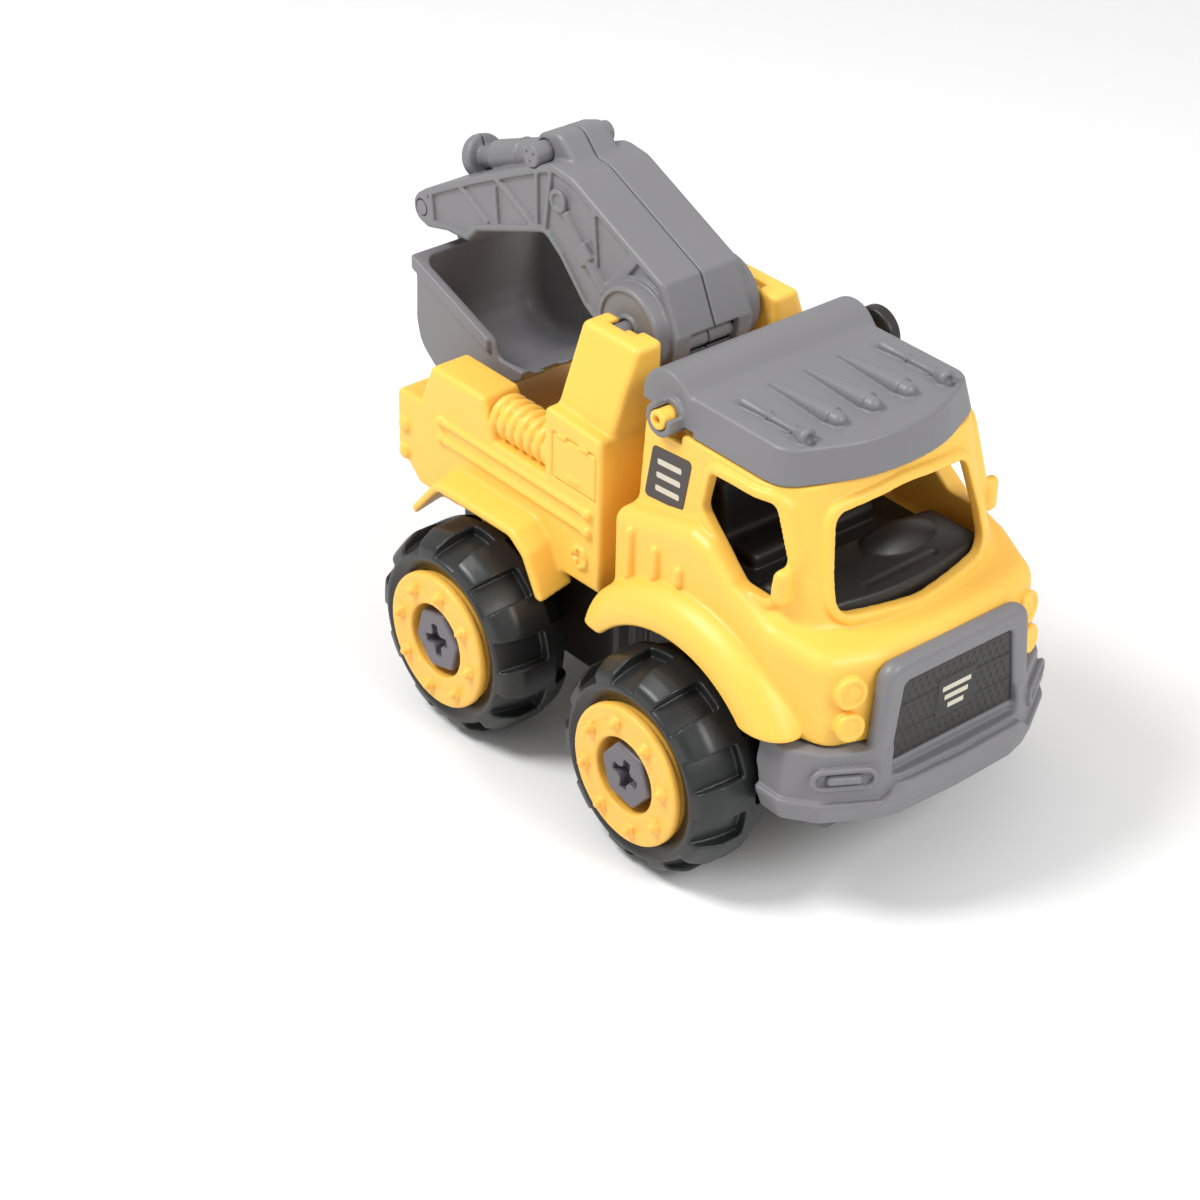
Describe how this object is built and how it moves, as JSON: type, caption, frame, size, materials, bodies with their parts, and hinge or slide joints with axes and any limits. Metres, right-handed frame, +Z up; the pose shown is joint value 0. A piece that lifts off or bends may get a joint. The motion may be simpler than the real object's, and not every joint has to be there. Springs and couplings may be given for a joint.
{
  "type": "toy construction truck",
  "caption": "Take-apart toy truck with opening cab roof, free-turning bolted wheels and a rear excavator boom that lifts and tips its bucket.",
  "frame": {"origin": "on the ground, at the bottom centre of the object's bounding box", "axes": "+X towards the front bumper, +Y towards the truck's left side, +Z up"},
  "size_m": [0.194, 0.1164, 0.1454],
  "materials": {
    "yellow_plastic": "moulded plastic, satin gloss",
    "rim_plastic": "moulded plastic, satin gloss, slightly deeper yellow",
    "grey_plastic": "moulded plastic, satin",
    "black_plastic": "moulded plastic, satin black",
    "bolt_plastic": "moulded plastic, satin dark grey",
    "tyre_rubber": "moulded soft plastic, satin black",
    "screw_steel": "bright plated screw steel"
  },
  "bodies": {
    "truck": {"chassis": "black_plastic", "cab_shell": "yellow_plastic", "hinge_knob_left": "black_plastic", "front_bumper": "grey_plastic", "grille_plate": "black_plastic", "dashboard": "black_plastic", "driver_seat": "black_plastic", "rear_body": "yellow_plastic", "boom_pivot_pin": "grey_plastic", "body_bolt_front": "bolt_plastic", "body_bolt_cab": "bolt_plastic", "body_bolt_middle": "bolt_plastic", "body_bolt_rear": "bolt_plastic", "bumper_bolt_right": "bolt_plastic", "bumper_bolt_left": "bolt_plastic", "wheel_bolt_front_right": "bolt_plastic", "wheel_bolt_front_left": "bolt_plastic", "wheel_bolt_rear_right": "bolt_plastic", "wheel_bolt_rear_left": "bolt_plastic"},
    "roof": {"cab_roof": "grey_plastic"},
    "boom": {"boom_half_right": "grey_plastic", "boom_half_left": "grey_plastic", "knee_pin": "grey_plastic", "bucket_pivot_pin": "grey_plastic", "boom_screw_knee": "screw_steel", "boom_screw_arm": "screw_steel", "boom_screw_base": "screw_steel"},
    "bucket_body": {"bucket": "grey_plastic"},
    "wheel_front_right": {"tyre_front_right": "tyre_rubber", "rim_front_right": "rim_plastic"},
    "wheel_front_left": {"tyre_front_left": "tyre_rubber", "rim_front_left": "rim_plastic"},
    "wheel_rear_right": {"tyre_rear_right": "tyre_rubber", "rim_rear_right": "rim_plastic"},
    "wheel_rear_left": {"tyre_rear_left": "tyre_rubber", "rim_rear_left": "rim_plastic"}
  },
  "joints": [
    {"name": "roof_hinge", "type": "hinge", "parent": "truck", "child": "roof", "pos_m": [0.0264, 0, 0.1073], "axis": [0, -1, 0], "range_deg": [0, 75]},
    {"name": "boom_hinge", "type": "hinge", "parent": "truck", "child": "boom", "pos_m": [-0.0063, 0, 0.1107], "axis": [0, 1, 0], "range_deg": [0, 60]},
    {"name": "bucket_hinge", "type": "hinge", "parent": "boom", "child": "bucket_body", "pos_m": [-0.0932, 0, 0.1091], "axis": [0, 1, 0], "range_deg": [-12, 15]},
    {"name": "wheel_spin_front_right", "type": "hinge", "parent": "truck", "child": "wheel_front_right", "pos_m": [0.0442, 0, 0.0274], "axis": [0, 1, 0], "continuous": true},
    {"name": "wheel_spin_front_left", "type": "hinge", "parent": "truck", "child": "wheel_front_left", "pos_m": [0.0442, 0, 0.0274], "axis": [0, 1, 0], "continuous": true},
    {"name": "wheel_spin_rear_right", "type": "hinge", "parent": "truck", "child": "wheel_rear_right", "pos_m": [-0.0287, 0, 0.0274], "axis": [0, 1, 0], "continuous": true},
    {"name": "wheel_spin_rear_left", "type": "hinge", "parent": "truck", "child": "wheel_rear_left", "pos_m": [-0.0287, 0, 0.0274], "axis": [0, 1, 0], "continuous": true}
  ]
}
